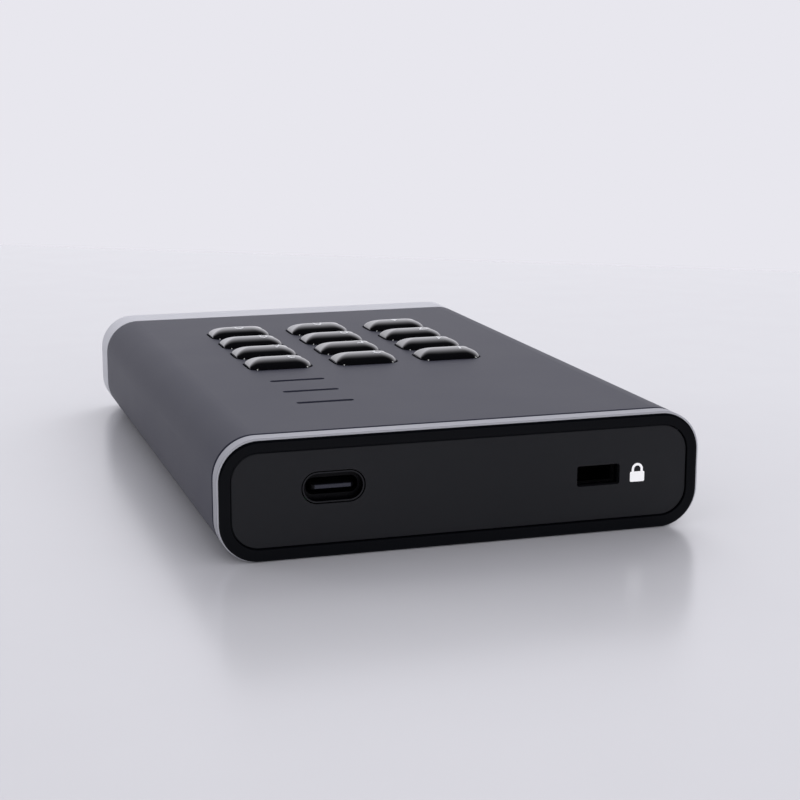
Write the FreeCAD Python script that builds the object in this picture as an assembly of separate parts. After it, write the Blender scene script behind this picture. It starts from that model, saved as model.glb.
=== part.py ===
import FreeCAD, Part
import math
import os

# Portable solid state drive with a keypad, a plug socket and a lock slot, in millimetres.
# X is across the width, Y runs from the socket end (low) to the closed end (high), Z is up.
# The origin is the middle of the underside.

V = FreeCAD.Vector

# Outer body: a rounded tube closed by a trimmed socket end and a one-piece rear cap
body_width = 80.0
body_height = 19.4
body_length = 124.0
corner_radius = 6.6
sleeve_wall = 1.8
sleeve_edge_chamfer = 0.2

# Bands along the length, counted in from each end
bezel_lip = 0.4
collar_depth = 2.8
rear_cap_depth = 8.4
rear_wall = 2.0
rear_edge_radius = 0.8
rear_edge_steps = 2
seal_thickness = 0.5
seal_recess = 0.3

# Socket end: a trim collar, a black bezel and a thin inset panel
collar_wall = 1.3
collar_clearance = 0.1
bezel_inset = 0.2
bezel_edge_chamfer = 0.2
bezel_rim = 1.9
bezel_floor = 1.7
panel_thickness = 1.2
panel_recess = 0.25
panel_clearance = 0.1
panel_edge_chamfer = 0.12
tongue_width = 48.0
tongue_length = 4.0
tongue_thickness = 1.2
slide_clearance = 0.15

# Plug socket: a standard tube behind a wide collar that fills the opening in the panel
mouth_width = 10.25
mouth_height = 5.2
mouth_gap = 0.2
socket_side_gap = 18.3
socket_rise = 1.4
socket_setback = 0.1
socket_collar_depth = 1.6
shell_width = 8.94
shell_height = 3.26
shell_corner = 1.5
shell_wall = 0.3
socket_collar_wall = 0.2
shell_length = 8.5
shell_back = 1.5
blade_width = 6.69
blade_thickness = 0.7
blade_setback = 0.45
blade_corner = 0.5

# Lock slot and the steel plate that stands behind it
lock_side_gap = 17.6
lock_drop = 0.1
lock_width = 7.4
lock_height = 3.4
lock_corner = 0.4
lock_plate_width = 15.0
lock_plate_height = 9.0
lock_plate_thickness = 1.5
lock_plate_pocket = 0.6

# Keypad
key_columns = 3
key_rows = 4
keypad_x = -0.35
key_pitch_x = 16.35
key_pitch_y = 11.33
key_first_y = -4.1
key_width = 11.6
key_depth = 8.2
key_corner = 2.2
key_gap = 0.3
key_step = 0.05
key_rise = 1.62
key_brow_radius = 0.3
key_shoulder_x = 3.0
key_shoulder_y = 3.8
key_flange = 0.8
key_flange_thickness = 1.0
key_flange_gap = 0.15
key_travel = 0.4
key_travel_spare = 0.05
key_stem_side = 3.0
key_stem_length = 1.0

# Silicone mat and snap domes below the keys
mat_web = 0.6
mat_rib = 1.2
mat_border = 1.5
mat_post_side = 3.6
mat_nub_side = 1.8
dome_radius = 3.0
dome_crown_radius = 1.6
dome_height = 0.4
dome_gap = 0.1

# Status lights
light_count = 3
light_x = -16.65
light_first_y = -18.8
light_pitch = 9.55
light_slot_length = 9.9
light_slot_width = 1.4
light_slot_clearance = 0.1
light_recess = 0.3
light_flange_length = 11.6
light_flange_width = 3.0
light_flange_thickness = 1.0
light_stem_length = 4.0
light_stem_width = 1.8
light_air_gap = 0.2
lamp_length = 3.2
lamp_width = 1.6
lamp_height = 0.7

# Storage module, 69.85 x 100.2 x 7 mm here, and the tray that carries it
module_side_gap = 1.875
module_front_room = 20.0
module_rear_gap = 1.8
module_top_gap = 0.8
module_hole_radius = 1.5
module_hole_depth = 2.5
module_hole_height = 2.6
module_hole_front = 14.0
module_hole_rear = 9.6
link_pocket_depth = 5.0
link_pocket_gap = 0.5
link_tongue_thickness = 1.2
tray_clearance = 0.2
tray_wall = 1.2
tray_top_gap = 0.6
tray_end_gap = 0.1
tray_window_pad_gap = 1.9
tray_window_end_gap = 7.0
tray_window_rib = 10.0
tray_window_count = 3
tray_peg_radius = 1.3
tray_peg_clearance = 0.4
pad_thickness = 0.6
pad_side = 9.0
pad_inset = 4.0
bumper_width = 40.0
bumper_height = 4.0
bumper_slack = 0.05

# Circuit boards
board_thickness = 1.0
main_board_side_gap = 4.0
main_board_lock_gap = 9.4
main_board_back_gap = 1.2
main_board_front_gap = 0.6
post_radius = 2.2
post_inset_x = 3.0
post_inset_y = 2.5
keypad_board_drop = 6.0
keypad_board_side_gap = 2.4
keypad_board_front_gap = 12.0
keypad_board_rear_margin = 2.8
boss_radius = 1.3
boss_side_gap = 0.1
boss_foot_spare = 1.4
boss_front_inset = 12.0
boss_rear_inset = 6.0
header_inset = 3.4
header_length = 16.0
header_width = 4.0
header_share = 0.55
link_side_gap = 1.8
link_floor_gap = 1.0
link_end_wall = 1.0
link_nose_wall = 0.9
link_nose_length = 3.6
link_fit_gap = 0.2

# Chips and small pieces on the main board
chip_row_setback = 8.0
chip_row_margin = 0.3
bridge_side = 8.0
guard_side = 5.0
crystal_length = 3.2
crystal_width = 2.5
choke_side = 4.0
choke_height = 1.9
choke_inset = 7.0
choke_gap = 0.4
chip_height = 0.9
capacitor_count = 6
capacitor_length = 1.6
capacitor_width = 0.8
capacitor_height = 0.8
capacitor_pitch = 2.0

# Fasteners, with plain shanks
small_screw_radius = 0.65
small_screw_head = 1.3
small_screw_head_height = 0.8
small_screw_length = 5.0
board_screw_radius = 0.9
board_screw_head = 1.8
board_screw_head_height = 1.1
board_screw_length = 5.0
bezel_screw_radius = 1.0
bezel_screw_head = 1.9
bezel_screw_head_height = 0.9
bezel_screw_length = 6.0
bezel_boss_radius = 2.6
bezel_boss_length = 7.8
bezel_boss_bite = 0.5
facets = 6
screw_clearance = 0.15
thread_clearance = 0.05
cut_spare = 1.0
same_point = 1e-6

# Places that follow from the sizes above
front_y = -body_length / 2
rear_y = body_length / 2
half_width = body_width / 2
middle_z = body_height / 2
collar_front_y = front_y + bezel_lip
collar_rear_y = collar_front_y + collar_depth
sleeve_front_y = collar_rear_y + seal_thickness
cap_front_y = rear_y - rear_cap_depth
sleeve_rear_y = cap_front_y - seal_thickness
cap_inside_y = rear_y - rear_wall
ceiling_z = body_height - sleeve_wall
socket_x = socket_side_gap - half_width
socket_z = middle_z + socket_rise
lock_x = half_width - lock_side_gap
lock_z = middle_z - lock_drop
panel_front_y = front_y + panel_recess
panel_rear_y = panel_front_y + panel_thickness
pocket_inset = bezel_inset + bezel_rim
floor_front_y = panel_rear_y
floor_rear_y = floor_front_y + bezel_floor
shell_front_y = panel_front_y + socket_setback
shell_rear_y = shell_front_y + shell_length
main_board_top = socket_z - shell_height / 2
main_board_z = main_board_top - board_thickness
tray_inset = sleeve_wall + tray_clearance
tray_inner_inset = tray_inset + tray_wall
tray_floor_top = tray_inner_inset
tray_front_y = floor_rear_y + tray_end_gap
tray_rear_y = cap_inside_y - tray_end_gap
keypad_board_z = ceiling_z - keypad_board_drop
keypad_board_top = keypad_board_z + board_thickness
keypad_board_width = body_width - 2 * keypad_board_side_gap
keypad_board_front_y = front_y + keypad_board_front_gap
key_last_y = key_first_y + key_pitch_y * (key_rows - 1)
keypad_board_rear_y = key_last_y + key_depth / 2 + mat_border + keypad_board_rear_margin
tray_top = keypad_board_z - tray_top_gap
module_z = tray_floor_top + pad_thickness
module_width = body_width - 2 * (tray_inner_inset + module_side_gap)
module_height = keypad_board_z - module_top_gap - module_z
module_middle_z = module_z + module_height / 2
module_front_y = front_y + module_front_room
module_rear_y = cap_inside_y - module_rear_gap
module_length = module_rear_y - module_front_y
module_hole_ys = (module_front_y + module_hole_front, module_rear_y - module_hole_rear)
main_board_left = main_board_side_gap - half_width
main_board_right = lock_x - main_board_lock_gap
main_board_front_y = floor_rear_y + main_board_front_gap
main_board_rear_y = module_front_y - main_board_back_gap
main_board_middle = (main_board_left + main_board_right) / 2
post_xs = (main_board_left + post_inset_x, main_board_right - post_inset_x)
post_ys = (main_board_front_y + post_inset_y, main_board_rear_y - post_inset_y)
post_spots = [(x, y) for x in post_xs for y in post_ys]
header_y = keypad_board_front_y + header_inset
link_width = post_xs[1] - post_xs[0] - 2 * (post_radius + link_side_gap)
link_tongue_width = link_width - 2 * (link_end_wall + link_fit_gap)
link_slot_height = link_tongue_thickness + 2 * link_fit_gap
link_nose_height = link_slot_height + 2 * link_nose_wall
chip_row_y = front_y + chip_row_setback
chip_row_left = socket_x + shell_width / 2 + chip_row_margin
chip_row_right = post_xs[1] - board_screw_head - chip_row_margin
chip_gap = (chip_row_right - chip_row_left - crystal_length - bridge_side - guard_side) / 4
crystal_x = chip_row_left + chip_gap + crystal_length / 2
bridge_x = crystal_x + crystal_length / 2 + chip_gap + bridge_side / 2
guard_x = chip_row_right - chip_gap - guard_side / 2
choke_x = main_board_left + choke_inset
choke_y = keypad_board_front_y - choke_gap - choke_side / 2
capacitor_first_x = choke_x + choke_side
key_seat_z = ceiling_z - key_flange_gap
key_foot_z = key_seat_z - key_flange_thickness - key_stem_length
mat_post_top = key_foot_z - key_travel - key_travel_spare
mat_z = keypad_board_top + mat_rib
light_top_z = body_height - light_recess
bezel_screw_reach = (corner_radius - sleeve_wall - bezel_boss_radius + bezel_boss_bite) * math.sqrt(0.5)
bezel_screw_x = half_width - corner_radius + bezel_screw_reach
bezel_screw_z = body_height - corner_radius + bezel_screw_reach
boss_x = module_width / 2 + boss_side_gap + boss_radius
boss_ys = (keypad_board_front_y + boss_front_inset, keypad_board_rear_y - boss_rear_inset)
boss_spots = [(side * boss_x, y) for side in (-1, 1) for y in boss_ys]
key_spots = [
    (keypad_x + key_pitch_x * (column - (key_columns - 1) / 2), key_first_y + key_pitch_y * row)
    for row in range(key_rows)
    for column in reversed(range(key_columns))
]
light_ys = [light_first_y - light_pitch * i for i in range(light_count)]


def rounded_wire(width, height, radius):
    """Closed outline of a rounded rectangle about the origin of the XY plane."""
    a, b = width / 2, height / 2
    r = min(radius, a, b)
    centres = [(a - r, r - b), (a - r, b - r), (r - a, b - r), (r - a, r - b)]

    def on_corner(corner, share):
        x, y = centres[corner]
        angle = math.pi / 2 * (corner - 1 + share)
        return V(x + r * math.cos(angle), y + r * math.sin(angle), 0)

    edges = []
    for corner in range(len(centres)):
        begin, middle, end = (on_corner(corner, share) for share in (0, 0.5, 1))
        edges.append(Part.Arc(begin, middle, end).toShape())
        side_end = on_corner((corner + 1) % len(centres), 0)
        if not side_end.isEqual(end, same_point):
            edges.append(Part.LineSegment(end, side_end).toShape())
    return Part.Wire(edges)


def cornered_wire(width, height, radius):
    """Outline with straight cuts that touch a rounded rectangle's corners, for faces inside the housing."""
    a, b = width / 2, height / 2
    cut = radius * (2 - math.sqrt(2))
    corner = [(a, b - cut), (a - cut, b)]
    points = corner + [(-x, y) for x, y in reversed(corner)]
    points += [(-x, -y) for x, y in points]
    outline = [V(x, y, 0) for x, y in points]
    return Part.makePolygon(outline + outline[:1])


def upright(wire, x, y, z):
    """Stands an XY outline up in the XZ plane with its middle at x, y, z."""
    turned = wire.copy()
    turned.Placement = FreeCAD.Placement(V(x, y, z), FreeCAD.Rotation(V(1, 0, 0), 90))
    return turned


def flat(wire, x, y, z):
    moved = wire.copy()
    moved.translate(V(x, y, z))
    return moved


def prism_y(width, height, radius, x, z, y0, y1):
    """Rounded bar along Y."""
    face = Part.Face(upright(rounded_wire(width, height, radius), x, y0, z))
    return face.extrude(V(0, y1 - y0, 0))


def prism_z(width, depth, radius, x, y, z0, z1):
    """Rounded plate standing on z0."""
    face = Part.Face(flat(rounded_wire(width, depth, radius), x, y, z0))
    return face.extrude(V(0, 0, z1 - z0))


def block(x0, x1, y0, y1, z0, z1):
    return Part.makeBox(x1 - x0, y1 - y0, z1 - z0, V(x0, y0, z0))


def block_at(x, y, length, width, z0, height):
    return block(x - length / 2, x + length / 2, y - width / 2, y + width / 2, z0, z0 + height)


def bar_y(x, z, width, height, y0, y1):
    return block(x - width / 2, x + width / 2, y0, y1, z - height / 2, z + height / 2)


def polygon_wire(radius):
    """Regular outline for small round pieces that repeat inside the housing."""
    turns = [2 * math.pi * (i + 0.5) / facets for i in range(facets)]
    corners = [V(radius * math.cos(turn), radius * math.sin(turn), 0) for turn in turns]
    return Part.makePolygon(corners + corners[:1])


def post(x, y, z0, z1, radius):
    return Part.Face(flat(polygon_wire(radius), x, y, z0)).extrude(V(0, 0, z1 - z0))


def frustum(x, y, z0, z1, radius0, radius1):
    """Post that narrows from one radius to another, with flat sides."""
    low = [vertex.Point for vertex in flat(polygon_wire(radius0), x, y, z0).OrderedVertexes]
    high = [vertex.Point for vertex in flat(polygon_wire(radius1), x, y, z1).OrderedVertexes]
    rings = [low, high]
    for i in range(facets):
        j = (i + 1) % facets
        rings.append([low[i], low[j], high[j], high[i]])
    return Part.Solid(Part.Shell([Part.Face(Part.makePolygon(ring + ring[:1])) for ring in rings]))


def rod_y(x, z, y0, y1, radius):
    return Part.Face(upright(polygon_wire(radius), x, y0, z)).extrude(V(0, y1 - y0, 0))


def rod_x(x0, x1, y, z, radius):
    outline = polygon_wire(radius)
    outline.Placement = FreeCAD.Placement(V(x0, y, z), FreeCAD.Rotation(V(0, 1, 0), 90))
    return Part.Face(outline).extrude(V(x1 - x0, 0, 0))


def body_wire(inset, y, outline=rounded_wire):
    """Outline of the body's cross-section, drawn in by an inset."""
    wire = outline(body_width - 2 * inset, body_height - 2 * inset, corner_radius - inset)
    return upright(wire, 0, y, middle_z)


def body_slab(inset, y0, y1):
    return Part.Face(body_wire(inset, y0)).extrude(V(0, y1 - y0, 0))


def body_bore(inset, y0, y1):
    """Straight-cut hollow of a piece that goes round the body."""
    return Part.Face(body_wire(inset, y0, cornered_wire)).extrude(V(0, y1 - y0, 0))


def body_ring(outer_inset, inner_inset, y0, y1):
    return body_slab(outer_inset, y0, y1).cut(body_bore(inner_inset, y0, y1))


def ruled_slab(sections):
    """Body slab whose inset changes along Y, given as (inset, y) pairs."""
    return Part.makeLoft([body_wire(inset, y) for inset, y in sections], True, True)


def chamfered_slab(inset, y0, y1, size):
    """Body slab with its two outer rims taken off."""
    return ruled_slab([(inset + size, y0), (inset, y0 + size), (inset, y1 - size), (inset + size, y1)])


def fuse(first, *others):
    return first.multiFuse(list(others)).removeSplitter()


def screw_z(x, y, seat, radius, length, head, head_height):
    """Pan-head screw that points down, with its head standing on the seat."""
    shank = post(x, y, seat - length, seat, radius)
    return fuse(shank, post(x, y, seat, seat + head_height, head))


# Housing

def make_sleeve():
    tube = chamfered_slab(0, sleeve_front_y, sleeve_rear_y, sleeve_edge_chamfer)
    tube = tube.cut(body_bore(sleeve_wall, sleeve_front_y, sleeve_rear_y))
    bosses = []
    cutters = []
    boss_end_y = sleeve_front_y + bezel_boss_length
    for x in (-bezel_screw_x, bezel_screw_x):
        boss = rod_y(x, bezel_screw_z, sleeve_front_y, boss_end_y, bezel_boss_radius)
        bosses.append(boss.common(body_slab(sleeve_wall / 2, sleeve_front_y, boss_end_y)))
        pilot_radius = bezel_screw_radius + thread_clearance
        cutters.append(rod_y(x, bezel_screw_z, sleeve_front_y, boss_end_y, pilot_radius))
    tube = fuse(tube, *bosses)
    opening = (key_width + 2 * key_gap, key_depth + 2 * key_gap, key_corner + key_gap)
    for x, y in key_spots:
        cutters.append(prism_z(*opening, x, y, ceiling_z - cut_spare, body_height + cut_spare))
    slot = (light_slot_length, light_slot_width, light_slot_width / 2)
    for y in light_ys:
        cutters.append(prism_z(*slot, light_x, y, ceiling_z - cut_spare, body_height + cut_spare))
    return tube.cut(cutters)


def make_front_collar():
    band = chamfered_slab(0, collar_front_y, collar_rear_y, sleeve_edge_chamfer)
    return band.cut(body_bore(collar_wall, collar_front_y, collar_rear_y))


def lock_opening(y0, y1):
    return prism_y(lock_width, lock_height, lock_corner, lock_x, lock_z, y0, y1)


def mouth_opening(y0, y1):
    return prism_y(mouth_width, mouth_height, mouth_height / 2, socket_x, socket_z, y0, y1)


def make_front_bezel():
    lip_edge_y = front_y + bezel_edge_chamfer
    edge = ruled_slab([(bezel_inset + bezel_edge_chamfer, front_y), (bezel_inset, lip_edge_y)])
    lip = fuse(edge, body_slab(bezel_inset, lip_edge_y, collar_front_y))
    frame = fuse(lip, body_slab(collar_wall + collar_clearance, collar_front_y, floor_rear_y))
    tongue_top = ceiling_z - slide_clearance
    tongue = block(-tongue_width / 2, tongue_width / 2, floor_front_y, floor_rear_y + tongue_length,
                   tongue_top - tongue_thickness, tongue_top)
    frame = fuse(frame, tongue)
    cutters = [
        body_slab(pocket_inset, front_y, floor_front_y),
        bar_y(socket_x, socket_z, mouth_width, mouth_height, floor_front_y, floor_rear_y),
        bar_y(lock_x, lock_z, lock_width, lock_height, floor_front_y, floor_rear_y),
        bar_y(lock_x, lock_z, lock_plate_width, lock_plate_height,
              floor_rear_y - lock_plate_pocket, floor_rear_y),
    ]
    head_seat_y = floor_front_y + bezel_screw_head_height
    for x in (-bezel_screw_x, bezel_screw_x):
        hole_radius = bezel_screw_radius + screw_clearance
        head_radius = bezel_screw_head + screw_clearance
        cutters.append(rod_y(x, bezel_screw_z, floor_front_y, floor_rear_y, hole_radius))
        cutters.append(rod_y(x, bezel_screw_z, floor_front_y, head_seat_y, head_radius))
    return frame.cut(cutters)


def make_front_panel():
    inset = pocket_inset + panel_clearance
    rim = panel_edge_chamfer
    edge = ruled_slab([(inset + rim, panel_front_y), (inset, panel_front_y + rim)])
    plate = fuse(edge, body_slab(inset, panel_front_y + rim, panel_rear_y))
    return plate.cut([mouth_opening(panel_front_y, panel_rear_y), lock_opening(panel_front_y, panel_rear_y)])


def make_seal(y0):
    return body_ring(seal_recess, sleeve_wall, y0, y0 + seal_thickness)


def make_rear_cap():
    sections = [(0, cap_front_y)]
    for step in range(rear_edge_steps + 1):
        turn = math.pi / 2 * step / rear_edge_steps
        inset = rear_edge_radius * (1 - math.cos(turn))
        sections.append((inset, rear_y - rear_edge_radius * (1 - math.sin(turn))))
    cap = ruled_slab(sections)
    cap = cap.cut(body_bore(sleeve_wall, cap_front_y, cap_inside_y))
    tongue_top = ceiling_z - slide_clearance
    tongue = block(-tongue_width / 2, tongue_width / 2, cap_front_y - tongue_length, cap_inside_y,
                   tongue_top - tongue_thickness, tongue_top)
    root = block(-tongue_width / 2, tongue_width / 2, cap_front_y, cap_inside_y,
                 tongue_top - tongue_thickness, ceiling_z + sleeve_wall / 2)
    return fuse(cap, tongue, root)


def make_lock_plate():
    y0 = floor_rear_y - lock_plate_pocket
    y1 = y0 + lock_plate_thickness
    plate = bar_y(lock_x, lock_z, lock_plate_width, lock_plate_height, y0, y1)
    return plate.cut(bar_y(lock_x, lock_z, lock_width, lock_height, y0, y1))


# Plug socket

def socket_bar(width, height, radius, inset, y0, y1):
    return prism_y(width - 2 * inset, height - 2 * inset, radius - inset, socket_x, socket_z, y0, y1)


def make_usb_shell():
    collar_rear = shell_front_y + socket_collar_depth
    collar = (mouth_width, mouth_height, mouth_height / 2)
    tube = (shell_width, shell_height, shell_corner)
    outer = fuse(socket_bar(*collar, mouth_gap, shell_front_y, collar_rear),
                 bar_y(socket_x, socket_z, shell_width, shell_height, collar_rear, shell_rear_y))
    return outer.cut([
        socket_bar(*collar, mouth_gap + socket_collar_wall, shell_front_y, collar_rear - shell_wall),
        socket_bar(*tube, shell_wall, shell_front_y, shell_rear_y),
    ])


def make_usb_insert():
    back_y = shell_rear_y - shell_back
    back = socket_bar(shell_width, shell_height, shell_corner, shell_wall, back_y, shell_rear_y)
    tip_y = shell_front_y + blade_setback
    half = blade_width / 2
    root_y = back_y + shell_back / 2
    plan = [(-half, root_y), (-half, tip_y + blade_corner), (-half + blade_corner, tip_y),
            (half - blade_corner, tip_y), (half, tip_y + blade_corner), (half, root_y)]
    points = [V(socket_x + x, y, socket_z - blade_thickness / 2) for x, y in plan]
    blade = Part.Face(Part.makePolygon(points + points[:1])).extrude(V(0, 0, blade_thickness))
    return fuse(back, blade)


# Keypad

def shoulder_profile(span, run):
    """Cross-section of a key: upright foot, tight brow, wide shoulders and level top, all tangent."""
    foot, wall, top = key_seat_z, body_height + key_step, body_height + key_step + key_rise
    half = span / 2
    brow = key_brow_radius
    crown = (run ** 2 + key_rise ** 2 - 2 * run * brow) / (2 * (key_rise - brow))
    lean = math.atan2(run - brow, crown - key_rise)

    def on_brow(turn):
        return half - brow + brow * math.cos(turn), wall + brow * math.sin(turn)

    def on_crown(turn):
        return half - run + crown * math.sin(turn), top - crown + crown * math.cos(turn)

    def arc(side, *points):
        return Part.Arc(*(V(side * across, up, 0) for across, up in points)).toShape()

    brow_end = math.pi / 2 - lean
    edges = []
    for side in (1, -1):
        edges.append(arc(side, (half, wall), on_brow(brow_end / 2), on_brow(brow_end)))
        edges.append(arc(side, on_brow(brow_end), on_crown(lean / 2), (half - run, top)))
    for line in [((-half, wall), (-half, foot)), ((-half, foot), (half, foot)), ((half, foot), (half, wall)),
                 ((half - run, top), (run - half, top))]:
        edges.append(Part.LineSegment(*(V(across, up, 0) for across, up in line)).toShape())
    return Part.Wire(Part.__sortEdges__(edges))


def make_key(x, y):
    across = Part.Face(upright(shoulder_profile(key_width, key_shoulder_x), x, y - key_depth / 2, 0))
    across = across.extrude(V(0, key_depth, 0))
    along = shoulder_profile(key_depth, key_shoulder_y)
    turn = FreeCAD.Rotation(V(0, 0, 1), 90).multiply(FreeCAD.Rotation(V(1, 0, 0), 90))
    along.Placement = FreeCAD.Placement(V(x - key_width / 2, y, 0), turn)
    along = Part.Face(along).extrude(V(key_width, 0, 0))
    above = body_height + key_step + key_rise + cut_spare
    plan = prism_z(key_width, key_depth, key_corner, x, y, key_seat_z, above)
    cap = plan.common(across).common(along)
    flange = block_at(x, y, key_width + 2 * key_flange, key_depth + 2 * key_flange,
                      key_seat_z - key_flange_thickness, key_flange_thickness)
    stem = block_at(x, y, key_stem_side, key_stem_side, key_foot_z, key_seat_z - key_foot_z)
    return fuse(cap, flange, stem)


def make_key_mat():
    middle_y = (key_first_y + key_last_y) / 2
    width = key_pitch_x * (key_columns - 1) + key_width + 2 * mat_border
    depth = key_pitch_y * (key_rows - 1) + key_depth + 2 * mat_border
    web = block_at(keypad_x, middle_y, width, depth, mat_z, mat_web)
    hollow = (width - 2 * mat_border, depth - 2 * mat_border)
    rib = block_at(keypad_x, middle_y, width, depth, keypad_board_top, mat_rib).cut(
        block_at(keypad_x, middle_y, *hollow, keypad_board_top, mat_rib))
    posts = [block_at(x, y, mat_post_side, mat_post_side, mat_z, mat_post_top - mat_z) for x, y in key_spots]
    nub_foot = keypad_board_top + dome_height + dome_gap
    nub_height = mat_z + mat_web - nub_foot
    nubs = [block_at(x, y, mat_nub_side, mat_nub_side, nub_foot, nub_height) for x, y in key_spots]
    return fuse(web, rib, *posts, *nubs)


def make_snap_domes():
    crown_z = keypad_board_top + dome_height
    return Part.makeCompound([frustum(x, y, keypad_board_top, crown_z, dome_radius, dome_crown_radius)
                              for x, y in key_spots])


def make_keypad_board():
    board = block(-keypad_board_width / 2, keypad_board_width / 2, keypad_board_front_y, keypad_board_rear_y,
                  keypad_board_z, keypad_board_top)
    hole_radius = small_screw_radius + screw_clearance
    return board.cut([post(x, y, keypad_board_z, keypad_board_top, hole_radius) for x, y in boss_spots])


# Status lights

def make_light_pipe(y):
    bar = prism_z(light_slot_length - 2 * light_slot_clearance, light_slot_width - 2 * light_slot_clearance,
                  light_slot_width / 2 - light_slot_clearance, light_x, y, ceiling_z, light_top_z)
    flange_z = ceiling_z - light_flange_thickness
    flange = block_at(light_x, y, light_flange_length, light_flange_width, flange_z, light_flange_thickness)
    stem_foot = keypad_board_top + lamp_height + light_air_gap
    stem = block_at(light_x, y, light_stem_length, light_stem_width, stem_foot, flange_z - stem_foot)
    return fuse(bar, flange, stem)


def make_lamp(y):
    return block_at(light_x, y, lamp_length, lamp_width, keypad_board_top, lamp_height)


# Storage module, tray and pads

def make_storage_module():
    side_x = module_width / 2
    case = block(-side_x, side_x, module_front_y, module_rear_y, module_z, module_z + module_height)
    pocket_width, pocket_height = link_width + 2 * link_pocket_gap, link_nose_height + 2 * link_pocket_gap
    pocket_end = module_front_y + link_pocket_depth
    pocket = bar_y(main_board_middle, module_middle_z, pocket_width, pocket_height,
                   module_front_y, pocket_end)
    tongue = bar_y(main_board_middle, module_middle_z, link_tongue_width, link_tongue_thickness,
                   module_front_y, pocket_end + link_tongue_thickness)
    holes = [rod_x(side * (side_x - module_hole_depth), side * side_x, y, module_z + module_hole_height,
                   module_hole_radius) for side in (-1, 1) for y in module_hole_ys]
    return fuse(case.cut([pocket] + holes), tongue)


def make_drive_tray():
    tray = body_ring(tray_inset, tray_inner_inset, tray_front_y, tray_rear_y)
    above = block(-half_width, half_width, tray_front_y, tray_rear_y, tray_top, body_height)
    window_width = module_width - 2 * (pad_inset + pad_side + tray_window_pad_gap)
    window_pitch = (module_length - 2 * tray_window_end_gap + tray_window_rib) / tray_window_count
    window_length = window_pitch - tray_window_rib
    first_y = module_front_y + tray_window_end_gap + window_length / 2
    windows = [block_at(0, first_y + window_pitch * i, window_width, window_length, 0, module_z)
               for i in range(tray_window_count)]
    tray = tray.cut([above] + windows)
    wall_x = half_width - tray_inset - tray_wall / 2
    peg_tip = module_width / 2 - module_hole_depth + tray_peg_clearance
    pegs = [rod_x(side * peg_tip, side * wall_x, y, module_z + module_hole_height, tray_peg_radius)
            for side in (-1, 1) for y in module_hole_ys]
    posts = [post(x, y, tray_inset + tray_wall / 2, main_board_z, post_radius) for x, y in post_spots]
    small_foot = keypad_board_top - small_screw_length
    bosses = [post(x, y, small_foot - boss_foot_spare, keypad_board_z, boss_radius) for x, y in boss_spots]
    tray = fuse(tray, *pegs, *posts, *bosses)
    pilot_foot = main_board_top - board_screw_length
    pilot_radius = board_screw_radius + thread_clearance
    pilots = [post(x, y, pilot_foot, main_board_z, pilot_radius) for x, y in post_spots]
    small_radius = small_screw_radius + thread_clearance
    pilots += [post(x, y, small_foot, keypad_board_z, small_radius) for x, y in boss_spots]
    return tray.cut(pilots)


def make_shock_pads():
    x = module_width / 2 - pad_inset - pad_side / 2
    ys = module_front_y + pad_inset + pad_side / 2, module_rear_y - pad_inset - pad_side / 2
    return Part.makeCompound([block_at(side * x, y, pad_side, pad_side, tray_floor_top, pad_thickness)
                              for side in (-1, 1) for y in ys])


def make_rear_bumper():
    return bar_y(0, module_middle_z, bumper_width, bumper_height, module_rear_y + bumper_slack, cap_inside_y)


# Main board and what it carries

def make_main_board():
    board = block(main_board_left, main_board_right, main_board_front_y, main_board_rear_y,
                  main_board_z, main_board_top)
    hole_radius = board_screw_radius + screw_clearance
    return board.cut([post(x, y, main_board_z, main_board_top, hole_radius) for x, y in post_spots])


def make_link_socket():
    """Receptacle under the main board whose nose plugs into the storage module."""
    body_foot = tray_floor_top + link_floor_gap
    body = block(main_board_middle - link_width / 2, main_board_middle + link_width / 2,
                 main_board_rear_y - header_width, module_front_y - link_fit_gap, body_foot, main_board_z)
    nose_tip = module_front_y + link_nose_length
    nose_root = (main_board_rear_y + module_front_y) / 2
    nose = bar_y(main_board_middle, module_middle_z, link_width, link_nose_height, nose_root, nose_tip)
    slot_width = link_tongue_width + 2 * link_fit_gap
    slot = bar_y(main_board_middle, module_middle_z, slot_width, link_slot_height,
                 module_front_y - link_fit_gap, nose_tip)
    return fuse(body, nose).cut(slot)


def make_board_header():
    share = (keypad_board_z - main_board_top) * header_share
    return block_at(main_board_middle, header_y, header_length, header_width, main_board_top, share)


def make_board_socket():
    share = (keypad_board_z - main_board_top) * header_share
    return block_at(main_board_middle, header_y, header_length, header_width, main_board_top + share,
                    keypad_board_z - main_board_top - share)


def make_capacitors():
    return Part.makeCompound([
        block_at(capacitor_first_x + capacitor_pitch * i, keypad_board_front_y, capacitor_width,
                 capacitor_length, main_board_top, capacitor_height) for i in range(capacitor_count)])


def make_board_screws():
    size = (board_screw_radius, board_screw_length, board_screw_head, board_screw_head_height)
    return Part.makeCompound([screw_z(x, y, main_board_top, *size) for x, y in post_spots])


def make_keypad_screws():
    size = (small_screw_radius, small_screw_length, small_screw_head, small_screw_head_height)
    return Part.makeCompound([screw_z(x, y, keypad_board_top, *size) for x, y in boss_spots])


def make_bezel_screws():
    seat_y = floor_front_y + bezel_screw_head_height
    screws = []
    for x in (-bezel_screw_x, bezel_screw_x):
        shank = rod_y(x, bezel_screw_z, seat_y, seat_y + bezel_screw_length, bezel_screw_radius)
        screws.append(fuse(shank, rod_y(x, bezel_screw_z, floor_front_y, seat_y, bezel_screw_head)))
    return Part.makeCompound(screws)


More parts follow.
